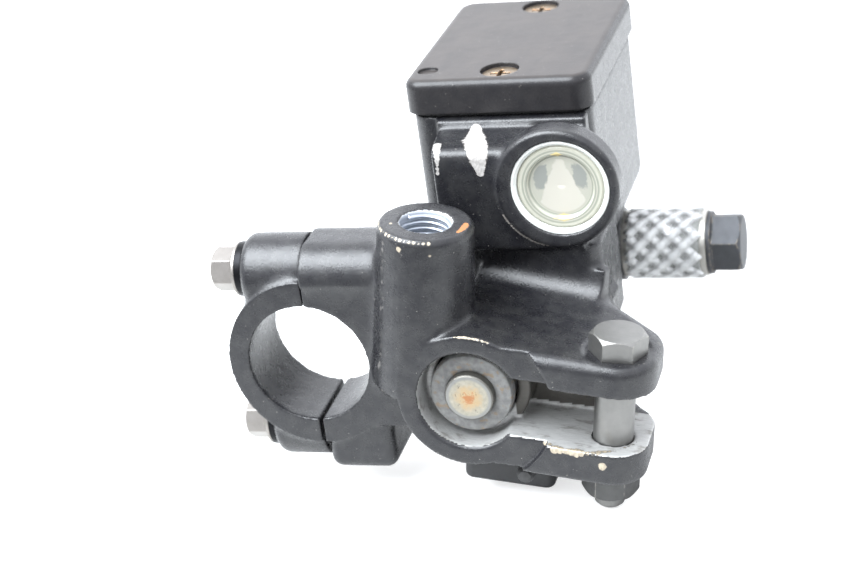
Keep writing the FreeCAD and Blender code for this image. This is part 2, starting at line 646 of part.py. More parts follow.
def brake_switch():
    case = rounded_box(SWITCH_X, SWITCH_Y, SWITCH_Z, 2.0)
    case = rounded(case, 1.2, lambda p: p.z < SWITCH_Z[0] + 0.1)
    plunger = rod((PLUNGER[0], SWITCH_Y[0] - 1, PLUNGER[1]), ALONG_Y, 1.8 + GAP, 9)
    x = sum(SWITCH_X) / 2
    screw = rod((x, 9, SWITCH_Z[0] - 1), ALONG_Z, 1.6 + 0.1, 20)
    head = rod((x, 9, SWITCH_Z[0] - 1), ALONG_Z, 3.4, 3.2)
    return lean(case.cut([plunger, screw, head]))


def switch_plunger():
    profile = [(0, 0), (0.3, 1.2), (1.2, 1.8), (8.0, 1.8), (8.0, 0)]
    return lean(turned(profile, (PLUNGER[0], SWITCH_Y[0] - 4.0, PLUNGER[1]), ALONG_Y))


def switch_screw():
    x = sum(SWITCH_X) / 2
    head_z = SWITCH_Z[0] + 2.15
    depth = SWITCH_Z[1] + 6.5 - head_z
    profile = [(-1.9, 0), (-1.9, 2.6), (-1.2, 3.1), (0, 3.1), (0, 1.6), (depth, 1.6), (depth, 0)]
    screw = turned(profile, (x, 9, head_z), ALONG_Z)
    slots = [block((x - 1.8, 8.6, head_z - 3), (x + 1.8, 9.4, head_z - 1.0)),
             block((x - 0.4, 7.2, head_z - 3), (x + 0.4, 10.8, head_z - 1.0))]
    return lean(screw.cut(slots))


def switch_terminals():
    x = sum(SWITCH_X) / 2
    z = sum(SWITCH_Z) / 2
    start_y = SWITCH_Y[1] + 0.01
    blades = []
    for center_x in (x - 4, x + 4):
        blade = block((center_x - 1.4, start_y, z - 0.4), (center_x + 1.4, start_y + 6.3, z + 0.4))
        blades.append(lean(blade))
    return Part.makeCompound(blades)


NODES = [housing, clamp_cap, clamp_washers, clamp_bolts, pivot_bolt, pivot_nut, reservoir_cover,
         cover_screws, diaphragm_plate, diaphragm, port_baffle, sight_glass_ring, sight_glass_lens,
         sight_glass_seal, sight_glass_reflector, piston, primary_cup, secondary_cup, return_spring,
         stop_washer, circlip, dust_boot, outlet_washers, outlet_spacer, outlet_braid, outlet_bolt,
         brake_switch, switch_plunger, switch_screw, switch_terminals]

os.makedirs("parts", exist_ok=True)
for node in NODES:
    node().exportStep("parts/" + node.__name__ + ".step")
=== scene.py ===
import json
import math

import bmesh
import bpy
import numpy as np
from mathutils import Matrix, Vector


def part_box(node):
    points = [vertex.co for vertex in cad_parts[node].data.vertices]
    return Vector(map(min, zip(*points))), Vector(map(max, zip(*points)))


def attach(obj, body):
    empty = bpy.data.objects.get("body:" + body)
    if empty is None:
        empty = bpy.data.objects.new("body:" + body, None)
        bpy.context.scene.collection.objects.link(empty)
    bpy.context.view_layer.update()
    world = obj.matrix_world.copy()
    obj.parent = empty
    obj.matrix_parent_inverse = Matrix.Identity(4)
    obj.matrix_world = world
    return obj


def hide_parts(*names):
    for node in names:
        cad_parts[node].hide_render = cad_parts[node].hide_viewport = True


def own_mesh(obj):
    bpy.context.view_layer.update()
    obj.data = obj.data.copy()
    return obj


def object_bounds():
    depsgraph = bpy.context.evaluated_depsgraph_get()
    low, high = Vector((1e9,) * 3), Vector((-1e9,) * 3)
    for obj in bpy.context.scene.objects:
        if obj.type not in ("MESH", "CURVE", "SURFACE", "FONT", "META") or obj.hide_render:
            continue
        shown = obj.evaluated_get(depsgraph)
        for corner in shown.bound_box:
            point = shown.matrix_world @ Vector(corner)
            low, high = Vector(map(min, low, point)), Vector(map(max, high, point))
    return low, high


# Brake master cylinder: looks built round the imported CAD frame, in metres.
# +Y runs along the handlebar and the bore, +X towards the lever pivot, +Z out of the reservoir cover.

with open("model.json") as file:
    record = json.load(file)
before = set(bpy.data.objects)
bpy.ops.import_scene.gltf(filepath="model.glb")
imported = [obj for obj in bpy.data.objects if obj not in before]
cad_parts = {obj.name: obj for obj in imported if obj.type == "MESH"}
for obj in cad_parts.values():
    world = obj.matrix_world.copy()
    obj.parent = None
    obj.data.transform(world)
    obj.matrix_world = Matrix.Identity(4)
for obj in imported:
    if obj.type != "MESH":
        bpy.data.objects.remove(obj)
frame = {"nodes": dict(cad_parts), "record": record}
cad_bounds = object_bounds()
nodes = frame["nodes"]
mounts = {mount["name"]: mount for mount in frame["record"]["mounts"]}

MM = 0.001
X = Vector((1, 0, 0))
Y = Vector((0, 1, 0))


def mount_point(name):
    return Vector(mounts[name]["pos_m"])


def middle(node):
    low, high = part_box(node)
    return (low + high) / 2


LEVER_UP = Vector(mounts["mirror_thread"]["axis"]).normalized()    # upright of the lever group
LEVER_X = Y.cross(LEVER_UP)
LEAN = math.atan2(LEVER_UP.x, LEVER_UP.z)
BORE = mount_point("piston_push_face")          # middle of the piston's face, on the bore axis
PIVOT = mount_point("lever_pivot")              # on the pivot axis, half way up the slot
MIRROR = mount_point("mirror_thread")           # on the mirror thread's axis, half way down
OUTLET = mount_point("hose_outlet")             # middle of the outlet face
SIGHT = middle("sight_glass_ring")
MIRROR_TOP = MIRROR + LEVER_UP * 9.65 * MM      # top of the mirror boss


def lever_point(x, y, z):
    """A point given in millimetres in the lever group's upright frame."""
    return (LEVER_X * x + Y * y + LEVER_UP * z) * MM


# ---------------------------------------------------------------- node trees

class Shader:
    """A material with short calls for the nodes used here. Coordinates are in millimetres."""

    def __init__(self, name):
        self.material = bpy.data.materials.new(name)
        self.material.use_nodes = True
        self.tree = self.material.node_tree
        self.tree.nodes.clear()
        place = self.node("ShaderNodeTexCoord").outputs["Object"]
        self.place = self.vector("MULTIPLY", place, (1 / MM, 1 / MM, 1 / MM))
        self.geometry = self.node("ShaderNodeNewGeometry")

    def node(self, kind, inputs=None, **settings):
        node = self.tree.nodes.new(kind)
        for key, value in settings.items():
            setattr(node, key, value)
        for key, value in (inputs or {}).items():
            self.put(node.inputs[key], value)
        return node

    def put(self, socket, value):
        if isinstance(value, bpy.types.NodeSocket):
            self.tree.links.new(value, socket)
        elif socket.type == "RGBA" and len(value) == 3:
            socket.default_value = (*value, 1)
        else:
            socket.default_value = value

    def math(self, operation, a, b=0.0, clamp=False):
        node = self.node("ShaderNodeMath", {0: a, 1: b}, operation=operation, use_clamp=clamp)
        return node.outputs[0]

    def vector(self, operation, a, b=(0, 0, 0)):
        node = self.node("ShaderNodeVectorMath", {0: a, 1: b}, operation=operation)
        return node.outputs["Value" if operation in ("DOT_PRODUCT", "LENGTH", "DISTANCE") else "Vector"]

    def noise(self, size, detail=3.0, stretch=(1, 1, 1), roughness=0.55):
        """Noise with features about size millimetres wide."""
        place = self.vector("MULTIPLY", self.place, stretch)
        inputs = {"Vector": place, "Scale": 1 / size, "Detail": detail, "Roughness": roughness}
        return self.node("ShaderNodeTexNoise", inputs).outputs["Fac"]

    def cells(self, size):
        """Distance from the middle of scattered cells about size millimetres wide."""
        inputs = {"Vector": self.place, "Scale": 1 / size}
        return self.node("ShaderNodeTexVoronoi", inputs).outputs["Distance"]

    def step(self, value, low, high):
        """Smooth 0 to 1 between two values of the input."""
        inputs = {"Value": value, "From Min": low, "From Max": high}
        return self.node("ShaderNodeMapRange", inputs, interpolation_type="SMOOTHSTEP").outputs[0]

    def scale(self, value, low, high):
        """Maps 0..1 to low..high."""
        return self.node("ShaderNodeMapRange", {"Value": value, "To Min": low, "To Max": high}).outputs[0]

    def mix(self, factor, a, b):
        node = self.node("ShaderNodeMix", {"Factor": factor}, data_type="RGBA")
        self.put(node.inputs[6], a)
        self.put(node.inputs[7], b)
        return node.outputs[2]

    def blend(self, factor, a, b):
        """Mixes two plain values."""
        node = self.node("ShaderNodeMix", {"Factor": factor}, data_type="FLOAT")
        self.put(node.inputs[2], a)
        self.put(node.inputs[3], b)
        return node.outputs[0]

    def edges(self, radius):
        """1 near an edge of the mesh, 0 on flat stretches, and the rounded normal."""
        bevel = self.node("ShaderNodeBevel", {"Radius": radius * MM}, samples=6).outputs[0]
        cosine = self.vector("DOT_PRODUCT", bevel, self.geometry.outputs["Normal"])
        return self.step(cosine, 0.995, 0.88), bevel

    def facing(self, direction):
        """Cosine between the surface and a direction."""
        return self.vector("DOT_PRODUCT", self.geometry.outputs["Normal"], direction)

    def attribute(self, name, output="Fac"):
        return self.node("ShaderNodeAttribute", attribute_name=name).outputs[output]

    def bump(self, height, depth, normal=None):
        inputs = {"Height": height, "Distance": depth * MM, "Strength": 1.0}
        if normal is not None:
            inputs["Normal"] = normal
        return self.node("ShaderNodeBump", inputs).outputs[0]

    def surface(self, color, roughness, metallic=0.0, normal=None, **extra):
        inputs = {"Base Color": color, "Roughness": roughness, "Metallic": metallic}
        if normal is not None:
            inputs["Normal"] = normal
        for key, value in extra.items():
            inputs[key.replace("_", " ")] = value
        return self.node("ShaderNodeBsdfPrincipled", inputs).outputs[0]

    def finish(self, shader):
        self.tree.links.new(shader, self.node("ShaderNodeOutputMaterial").inputs["Surface"])
        return self.material


# ---------------------------------------------------------------- materials

def cast_paint(name):
    """Satin black paint over a sand-cast surface, with dust specks, worn corners, chips down to the
    metal, a painted highlight line and machined stretches. Reads the point attributes that paint_spots
    stores."""
    s = Shader(name)
    mottle = s.noise(3.0, 5)
    color = s.mix(s.step(mottle, 0.35, 0.7), (0.008, 0.008, 0.010), (0.018, 0.018, 0.019))
    rough = s.scale(s.noise(1.8, 4), 0.20, 0.36)
    normal = s.bump(s.noise(0.4, 4, roughness=0.7), 0.07, s.bump(s.noise(5.0, 2), 0.14))
    specks = s.step(s.cells(1.1), 0.085, 0.03)
    specks = s.math("MULTIPLY", specks, s.step(s.noise(4.0, 2), 0.48, 0.6))
    color = s.mix(specks, color, (0.42, 0.40, 0.36))
    rough = s.blend(specks, rough, 0.9)
    corner = s.step(s.geometry.outputs["Pointiness"], 0.53, 0.59)
    corner = s.math("MULTIPLY", corner, s.step(s.noise(1.3, 5), 0.42, 0.66))
    color = s.mix(s.math("MULTIPLY", corner, 0.6), color, (0.16, 0.15, 0.14))

    milled = s.attribute("milled")
    streaks = s.noise(0.35, 3, (0.12, 1, 1))
    dull = s.mix(streaks, (0.26, 0.26, 0.255), (0.52, 0.52, 0.51))
    stains = s.step(s.noise(2.4, 5, (0.5, 1, 1), 0.65), 0.50, 0.66)
    dull = s.mix(s.math("MULTIPLY", stains, 0.55), dull, (0.10, 0.09, 0.07))
    dull = s.mix(s.step(milled, 0.33, 0.40), (0.055, 0.05, 0.042), dull)
    bright = s.mix(streaks, (0.28, 0.30, 0.34), (0.44, 0.47, 0.52))
    metal = s.mix(s.step(milled, 0.55, 0.8), dull, bright)
    edge = s.math("ADD", milled, s.scale(s.noise(1.2, 5), -0.12, 0.12))
    shown = s.step(edge, 0.22, 0.34)
    color = s.mix(shown, color, metal)
    rough = s.blend(shown, rough, 0.42)

    # The bare spots hold the paint chips and also a painted highlight line on the sight glass boss's rim.
    ragged = s.math("ADD", s.attribute("bare"), s.scale(s.noise(1.0, 6, roughness=0.7), -0.55, 0.55))
    chip_and_highlight = s.step(ragged, 0.50, 0.56)
    rim = s.math("SUBTRACT", s.step(ragged, 0.40, 0.50), chip_and_highlight, clamp=True)
    tint = s.attribute("tint", "Color")
    scratch = s.step(s.noise(0.35, 4, (1, 0.3, 0.5)), 0.35, 0.7)
    tint = s.mix(scratch, s.mix(0.45, tint, (0.10, 0.09, 0.08)), tint)
    color = s.mix(chip_and_highlight, s.mix(rim, color, (0.05, 0.045, 0.04)), tint)
    rough = s.blend(chip_and_highlight, rough, 0.5)
    metallic = s.math("ADD", s.math("MULTIPLY", shown, 0.45), s.math("MULTIPLY", chip_and_highlight, 0.25), clamp=True)
    normal = s.bump(s.math("SUBTRACT", 1.0, chip_and_highlight), 0.10, normal)
    return s.finish(s.surface(color, rough, metallic, normal, IOR=1.5))


def cover_paint():
    """Glossier black paint, with a film of dust on the faces that look up."""
    s = Shader("cover_paint")
    edge, rounded = s.edges(0.5)
    up = s.step(s.facing((0, 0, 1)), 0.75, 0.98)
    smear = s.noise(4.0, 5, (1, 0.35, 1))
    dust = s.math("MULTIPLY", up, s.scale(smear, 0.02, 0.22))
    color = s.mix(s.noise(2.5, 4), (0.010, 0.010, 0.012), (0.026, 0.024, 0.024))
    color = s.mix(dust, color, (0.16, 0.13, 0.11))
    specks = s.step(s.cells(1.4), 0.06, 0.02)
    color = s.mix(s.math("MULTIPLY", specks, 0.8), color, (0.5, 0.47, 0.42))
    color = s.mix(s.math("MULTIPLY", edge, 0.05), color, (0.35, 0.33, 0.3))
    rough = s.blend(up, s.scale(s.noise(1.5, 4), 0.20, 0.34), 0.42)
    normal = s.bump(s.noise(0.5, 3), 0.025, s.bump(s.noise(6.0, 2), 0.08, rounded))
    return s.finish(s.surface(color, rough, 0.0, normal, IOR=1.36))


def steel(name, dark, light, stain, rough=(0.28, 0.45), corner=0.35):
    """Plated steel, softly clouded and finely scratched, stained or brighter along its corners."""
    s = Shader(name)
    edge, rounded = s.edges(0.35)
    cloud = s.scale(s.noise(2.2, 5), 0.15, 0.85)
    color = s.mix(cloud, dark, light)
    pits = s.step(s.noise(0.4, 5, roughness=0.7), 0.62, 0.74)
    color = s.mix(s.math("MULTIPLY", pits, 0.45), color, tuple(0.3 * c for c in dark))
    worn = s.math("MULTIPLY", edge, s.step(s.noise(0.8, 4), 0.42, 0.62))
    color = s.mix(s.math("MULTIPLY", worn, corner), color, stain)
    roughness = s.scale(s.noise(0.9, 4), rough[0], rough[1])
    normal = s.bump(s.noise(0.22, 3), 0.015, s.bump(s.noise(1.2, 3), 0.03, rounded))
    return s.finish(s.surface(color, roughness, 0.85, normal))


def rubber(name, dark, light, smudge):
    """Weathered rubber with a dull bloom and stains."""
    s = Shader(name)
    color = s.mix(s.step(s.noise(1.2, 5), 0.3, 0.7), dark, light)
    stain = s.step(s.noise(1.6, 4, (1, 1, 1.4)), 0.56, 0.66)
    color = s.mix(s.math("MULTIPLY", stain, 0.7), color, smudge)
    normal = s.bump(s.noise(0.3, 4), 0.03, s.bump(s.noise(2.0, 2), 0.05))
    return s.finish(s.surface(color, s.scale(s.noise(0.7, 3), 0.55, 0.8), 0.0, normal))


def plastic(name, dark, light, rough):
    """Moulded plastic with a fine spark-eroded grain."""
    s = Shader(name)
    edge, rounded = s.edges(0.3)
    color = s.mix(s.noise(1.8, 4), dark, light)
    color = s.mix(s.math("MULTIPLY", edge, 0.25), color, tuple(min(1, 1.8 * c + 0.02) for c in light))
    normal = s.bump(s.noise(0.25, 3), 0.015, rounded)
    return s.finish(s.surface(color, s.scale(s.noise(1.0, 3), rough - 0.08, rough + 0.1), 0.0, normal))


def clear_plastic(name, tint, haze):
    """Thin clear plastic: mostly see-through, with a surface gloss that grows at grazing angles."""
    s = Shader(name)
    normal = s.bump(s.noise(2.0, 3), 0.03)
    through = s.node("ShaderNodeBsdfTransparent", {"Color": (*tint, 1)}).outputs[0]
    gloss = s.node("ShaderNodeBsdfGlossy", {"Roughness": 0.08, "Normal": normal}).outputs[0]
    milk = s.node("ShaderNodeBsdfDiffuse", {"Color": (*(0.6 * c for c in tint), 1)}).outputs[0]
    body = s.node("ShaderNodeMixShader", {0: s.scale(s.noise(1.5, 4), haze * 0.6, haze * 1.4)})
    s.put(body.inputs[1], through)
    s.put(body.inputs[2], milk)
    fresnel = s.node("ShaderNodeFresnel", {"IOR": 1.45, "Normal": normal}).outputs[0]
    front = s.math("SUBTRACT", 1.0, s.geometry.outputs["Backfacing"])
    shader = s.node("ShaderNodeMixShader", {0: s.math("MULTIPLY", fresnel, front)})
    s.put(shader.inputs[1], body.outputs[0])
    s.put(shader.inputs[2], gloss)
    return s.finish(shader.outputs[0])


def sight_window():
    """Milky clear lens: pale rim, darker groove, whitish three-lobed middle between two dark windows, and two
    painted amber glints above and below.
    """
    s = Shader("sight_window")
    offset = s.vector("SUBTRACT", s.place, tuple(SIGHT / MM))
    split = s.node("ShaderNodeSeparateXYZ", {0: offset})
    across, up = split.outputs["X"], split.outputs["Z"]
    radius = s.math("SQRT", s.math("ADD", s.math("MULTIPLY", across, across), s.math("MULTIPLY", up, up)))
    wander = s.scale(s.noise(1.6, 4), -0.9, 0.9)
    color = s.mix(s.noise(1.2, 4), (0.44, 0.44, 0.36), (0.54, 0.53, 0.45))
    for groove in (7.7, 7.1, 6.4):
        away = s.math("ABSOLUTE", s.math("SUBTRACT", radius, groove))
        color = s.mix(s.step(away, 0.32, 0.08), color, (0.30, 0.31, 0.26))
    color = s.mix(s.step(radius, 6.3, 6.0), color, (0.40, 0.40, 0.34))
    sides = s.math("ABSOLUTE", s.math("SUBTRACT", s.math("ABSOLUTE", across), 4.0))
    height = s.math("ABSOLUTE", s.math("SUBTRACT", up, 2.0))
    window = s.math("ADD", s.math("MAXIMUM", sides, s.math("MULTIPLY", height, 0.55)), wander)
    window = s.math("MULTIPLY", s.step(window, 1.6, 1.2), s.step(radius, 6.1, 5.8))
    color = s.mix(window, color, (0.25, 0.26, 0.24))
    lobes = s.math("ADD", s.math("ABSOLUTE", across), s.math("MULTIPLY", up, 0.45))
    middle_lobe = s.step(s.math("ADD", lobes, wander), 3.4, 2.9)
    middle_lobe = s.math("MULTIPLY", middle_lobe, s.step(radius, 5.9, 5.5))
    color = s.mix(middle_lobe, color, (0.50, 0.48, 0.42))
    # Painted highlights: two small amber glints, one above and one below the middle.
    for height, low, high in ((6.9, 1.7, 1.1), (-6.7, 2.6, 1.2)):
        drop = s.math("MULTIPLY", s.math("ABSOLUTE", s.math("SUBTRACT", up, height)), 2.5)
        painted_glint = s.math("ADD", s.math("ADD", s.math("ABSOLUTE", across), drop), wander)
        color = s.mix(s.step(painted_glint, low, high), color, (0.62, 0.50, 0.24))
    milky = s.surface(color, 0.12, 0.0, s.bump(s.noise(2.5, 3), 0.05), IOR=1.45)
    through = s.node("ShaderNodeBsdfTransparent", {"Color": (0.97, 0.97, 0.92, 1)}).outputs[0]
    shader = s.node("ShaderNodeMixShader", {0: 0.8})
    s.put(shader.inputs[1], through)
    s.put(shader.inputs[2], milky)
    return s.finish(shader.outputs[0])


def stained_piston():
    """Anodised aluminium whose end face is worn cream and grey, with tan and rust stains in its middle."""
    s = Shader("stained_piston")
    from_middle = s.vector("DISTANCE", s.place, tuple(BORE / MM))
    wander = s.scale(s.noise(1.1, 5, roughness=0.65), -1.6, 1.6)
    face = s.step(s.facing((0, -1, 0)), 0.7, 0.95)
    cream = s.mix(s.noise(0.8, 5), (0.15, 0.14, 0.105), (0.34, 0.32, 0.26))
    tan = s.step(s.math("ADD", from_middle, wander), 3.4, 1.6)
    color = s.mix(tan, cream, (0.31, 0.23, 0.13))
    rust = s.step(s.math("ADD", s.math("MULTIPLY", wander, 1.4), from_middle), 1.5, 0.6)
    color = s.mix(rust, color, (0.28, 0.12, 0.045))
    lines = s.step(s.noise(0.7, 5, (1, 1, 0.5), 0.7), 0.60, 0.68)
    color = s.mix(s.math("MULTIPLY", lines, 0.7), color, (0.05, 0.04, 0.03))
    ring = s.step(from_middle, 3.7, 4.3)
    color = s.mix(ring, color, (0.17, 0.17, 0.16))
    color = s.mix(face, (0.16, 0.155, 0.14), color)
    metallic = s.scale(face, 0.85, 0.15)
    normal = s.bump(s.noise(0.4, 5), 0.06, s.edges(0.3)[1])
    return s.finish(s.surface(color, s.scale(s.noise(0.6, 3), 0.35, 0.6), metallic, normal))


def build_materials():
    zinc = steel("zinc_plate", (0.20, 0.185, 0.17), (0.35, 0.33, 0.31), (0.40, 0.36, 0.31))
    dull = steel("dull_steel", (0.15, 0.15, 0.145), (0.24, 0.235, 0.225), (0.42, 0.40, 0.35), corner=0.8)
    nut = steel("dark_nut", (0.045, 0.045, 0.045), (0.10, 0.10, 0.098), (0.36, 0.34, 0.31), corner=0.9)
    dark = steel("grey_blue_steel", (0.045, 0.047, 0.050), (0.09, 0.093, 0.10), (0.42, 0.34, 0.24),
                 (0.45, 0.6), corner=0.8)
    spring = steel("spring_steel", (0.20, 0.20, 0.20), (0.38, 0.38, 0.37), (0.3, 0.25, 0.2))
    rusty = steel("rusty_screw", (0.16, 0.10, 0.05), (0.34, 0.29, 0.23), (0.30, 0.13, 0.04), corner=0.8)
    oxide = steel("black_oxide", (0.004, 0.004, 0.005), (0.012, 0.012, 0.013), (0.06, 0.05, 0.04))
    washer = steel("soft_washer", (0.34, 0.33, 0.30), (0.50, 0.49, 0.46), (0.24, 0.2, 0.16))
    brass = steel("tinned_brass", (0.40, 0.35, 0.24), (0.55, 0.50, 0.38), (0.3, 0.2, 0.1))
    black_rubber = rubber("black_rubber", (0.010, 0.010, 0.010), (0.022, 0.022, 0.022), (0.04, 0.04, 0.04))
    return {
        "clamp_washers": oxide, "clamp_bolts": zinc, "pivot_bolt": dull, "pivot_nut": nut,
        "reservoir_cover": cover_paint(), "cover_screws": rusty, "outlet_washers": washer,
        "outlet_bolt": dark, "switch_screw": zinc, "switch_terminals": brass,
        "diaphragm": black_rubber, "sight_glass_seal": black_rubber, "primary_cup": black_rubber,
        "secondary_cup": black_rubber, "stop_washer": spring, "circlip": spring,
        "return_spring": spring, "port_baffle": spring,
        "diaphragm_plate": plastic("white_plastic", (0.42, 0.42, 0.40), (0.55, 0.54, 0.52), 0.5),
        "sight_glass_ring": plastic("pale_ring", (0.56, 0.58, 0.55), (0.68, 0.70, 0.67), 0.28),
        "sight_glass_reflector": plastic("cream_plastic", (0.70, 0.68, 0.60), (0.82, 0.80, 0.72), 0.4),
        "sight_glass_lens": sight_window(),
        "outlet_spacer": plastic("hose_core", (0.14, 0.15, 0.14), (0.27, 0.28, 0.27), 0.35),
        "piston": stained_piston(),
        "brake_switch": plastic("black_moulding", (0.012, 0.012, 0.013), (0.024, 0.024, 0.025), 0.5),
        "switch_plunger": plastic("black_pin", (0.02, 0.02, 0.02), (0.04, 0.04, 0.04), 0.45),
        "dust_boot": rubber("grey_rubber", (0.11, 0.11, 0.107), (0.17, 0.17, 0.165), (0.17, 0.12, 0.07)),
        "skin": clear_plastic("hose_skin", (0.99, 0.99, 0.985), 0.10),
        "braid": plastic("white_braid", (0.78, 0.80, 0.82), (0.92, 0.93, 0.94), 0.35),
        "thread": steel("bare_thread", (0.36, 0.39, 0.44), (0.52, 0.56, 0.62), (0.30, 0.28, 0.25)),
    }


def dress(piece, material):
    piece.data.materials.clear()
    piece.data.materials.append(material)


# ---------------------------------------------------------------- mesh tools

def new_piece(name, mesh, material, body):
    piece = bpy.data.objects.new(name, mesh)
    bpy.context.scene.collection.objects.link(piece)
    dress(piece, material)
    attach(piece, body)
    return piece


def mesh_from(name, bm):
    bmesh.ops.recalc_face_normals(bm, faces=bm.faces)
    mesh = bpy.data.meshes.new(name)
    bm.to_mesh(mesh)
    bm.free()
    mesh.shade_smooth()
    return mesh


def frame_of(axis):
    """Two directions across an axis."""
    side = axis.orthogonal().normalized()
    return side, axis.cross(side)


def swept_loops(name, loops):
    """Mesh through a list of equal closed loops of points, capped at both ends."""
    bm = bmesh.new()
    rings = [[bm.verts.new(p) for p in loop] for loop in loops]
    count = len(loops[0])
    for a, b in zip(rings, rings[1:]):
        for i in range(count):
            bm.faces.new((a[i], a[(i + 1) % count], b[(i + 1) % count], b[i]))
    bm.faces.new(rings[0])
    bm.faces.new(rings[-1])
    return mesh_from(name, bm)


def add_mesh(bm, mesh):
    bm.from_mesh(mesh)
    bpy.data.meshes.remove(mesh)


def spline(points, steps):
    """Smooth closed curve through flat points."""
    count = len(points)
    out = []
    for i in range(count):
        p0, p1, p2, p3 = (Vector(points[(i + k - 1) % count]) for k in range(4))
        for k in range(steps):
            t = k / steps
            out.append(0.5 * (2 * p1 + (p2 - p0) * t + (2 * p0 - 5 * p1 + 4 * p2 - p3) * t ** 2
                              + (3 * p1 - p0 - 3 * p2 + p3) * t ** 3))
    return out


def revolved(name, profile, start, axis, segments=96):
    """Ring-shaped solid: a closed profile of (height, radius) turned about an axis."""
    side, other = frame_of(axis)
    bm = bmesh.new()
    rings = []
    for i in range(segments):
        angle = 2 * math.pi * i / segments
        out = side * math.cos(angle) + other * math.sin(angle)
        rings.append([bm.verts.new(start + axis * height + out * radius) for height, radius in profile])
    count = len(profile)
    for i in range(segments):
        a, b = rings[i], rings[(i + 1) % segments]
        for k in range(count):
            bm.faces.new((a[k], a[(k + 1) % count], b[(k + 1) % count], b[k]))
    return mesh_from(name, bm)


def helix_ridge(name, start, axis, section, pitch, turns):
    """A profile of (height, radius) points carried round an axis as a screw thread."""
    side, other = frame_of(axis)
    steps = 48
    loops = []
    total = int(turns * steps)
    for i in range(total + 1):
        angle = 2 * math.pi * i / steps
        out = side * math.cos(angle) + other * math.sin(angle)
        climb = axis * (pitch * i / steps)
        loops.append([start + climb + axis * height + out * radius for height, radius in section])
    return swept_loops(name, loops)


# ---------------------------------------------------------------- castings

REACH = 1.5           # how far a mould fills an inner corner, in millimetres
EVEN_PASSES = 2       # smoothing passes that take the voxels' steps out of a dense mesh
NORMALS_EVERY = 5     # filling passes between two updates of the normals
BAR_FACE = 13.4       # reach of the machined clamp bore round the bar
THREAD_FLOOR = -11    # lowest machined height in the mirror bore, from the thread's middle
BLOCK_FACE_Y = 10.6   # front of the block that carries the sight glass
BOSS_RIM = (50.7, 9.9, 29.05)    # middle of the sight glass boss's rim
BOSS_RIM_R = 12.6

def read_points(mesh):
    points = np.empty(len(mesh.vertices) * 3, np.float32)
    mesh.vertices.foreach_get("co", points)
    return points.reshape(-1, 3).astype(float)


def write_points(mesh, points):
    mesh.vertices.foreach_set("co", points.astype(np.float32).ravel())
    mesh.update()


def normals_of(mesh):
    normals = np.empty(len(mesh.vertices) * 3, np.float32)
    mesh.vertex_normals.foreach_get("vector", normals)
    return normals.reshape(-1, 3).astype(float)


def remeshed(node, voxel):
    """Dense even mesh of a CAD node."""
    mesh = nodes[node].data.copy()
    bm = bmesh.new()
    bm.from_mesh(mesh)
    bmesh.ops.remove_doubles(bm, verts=bm.verts, dist=1e-6)
    bm.to_mesh(mesh)
    bm.free()
    piece = bpy.data.objects.new(node + "_dense", mesh)
    bpy.context.scene.collection.objects.link(piece)
    modifier = piece.modifiers.new("remesh", "REMESH")
    modifier.mode = "VOXEL"
    modifier.voxel_size = voxel * MM
    evaluated = piece.evaluated_get(bpy.context.evaluated_depsgraph_get())
    dense = bpy.data.meshes.new_from_object(evaluated)
    bpy.data.objects.remove(piece)
    return dense


def neighbour_mean(points, first, second, valence):
    total = np.empty_like(points)
    for k in range(points.shape[1]):
        total[:, k] = np.bincount(first, points[second, k], len(points))
        total[:, k] += np.bincount(second, points[first, k], len(points))
    return total / valence[:, None]


def cast_corners(mesh, machined, fill_passes):
    """Evens out a dense mesh, then fills its inner corners where nothing was machined."""
    edges = np.empty(len(mesh.edges) * 2, np.int32)
    mesh.edges.foreach_get("vertices", edges)
    first, second = edges[0::2], edges[1::2]
    points = read_points(mesh)
    valence = np.maximum(np.bincount(edges, minlength=len(points)), 1).astype(float)
    for _ in range(EVEN_PASSES):
        points += 0.5 * (neighbour_mean(points, first, second, valence) - points)
    write_points(mesh, points)
    free = 1.0 - machined(points / MM).astype(float)
    for _ in range(3):
        free = neighbour_mean(free[:, None], first, second, valence)[:, 0] * free
    for i in range(fill_passes):
        if i % NORMALS_EVERY == 0:
            write_points(mesh, points)
            normals = normals_of(mesh)
        pull = neighbour_mean(points, first, second, valence) - points
        outward = np.maximum((pull * normals).sum(1), 0.0) * free
        points += 0.9 * outward[:, None] * normals
    write_points(mesh, points)
    mesh.shade_smooth()


def from_axis(points, start, axis):
    """Distance from an axis and height along it, in millimetres."""
    start = np.array(start) / MM
    axis = np.array(axis)
    offset = points - start
    height = offset @ axis
    return np.linalg.norm(offset - height[:, None] * axis, axis=1), height


def machined_housing(points):
    """True where a point lies on a machined stretch of the housing."""
    around_bore, along_bore = from_axis(points, BORE, Y)
    around_pivot, above_slot = from_axis(points, PIVOT, LEVER_UP)
    around_mirror, up_mirror = from_axis(points, MIRROR, LEVER_UP)
    around_bar, _ = from_axis(points, Vector((0, 0, 0)), Y)
    around_sight, _ = from_axis(points, SIGHT, Y)
    around_outlet, out_of_face = from_axis(points, OUTLET, X)
    low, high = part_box("diaphragm")
    inside = np.all((points > np.array(low) / MM - 2.2) & (points < np.array(high) / MM + 2.2), axis=1)
    keep = (around_bore < 18.4) & (along_bore < -0.8)
    keep |= (around_bore < 11.2) & (along_bore < 24)
    keep |= (np.abs(above_slot) < 6.8) & (points[:, 0] > 40) & (points[:, 1] < 1.5)
    keep |= around_pivot < 7.6
    keep |= (around_mirror < 6.0) & (up_mirror > THREAD_FLOOR)
    keep |= around_bar < BAR_FACE
    keep |= points[:, 0] < 1.6
    keep |= (around_sight < 10.6) & (points[:, 1] < 30)
    keep |= (around_outlet < 8.4) & (out_of_face > -0.6)
    keep |= inside
    return keep


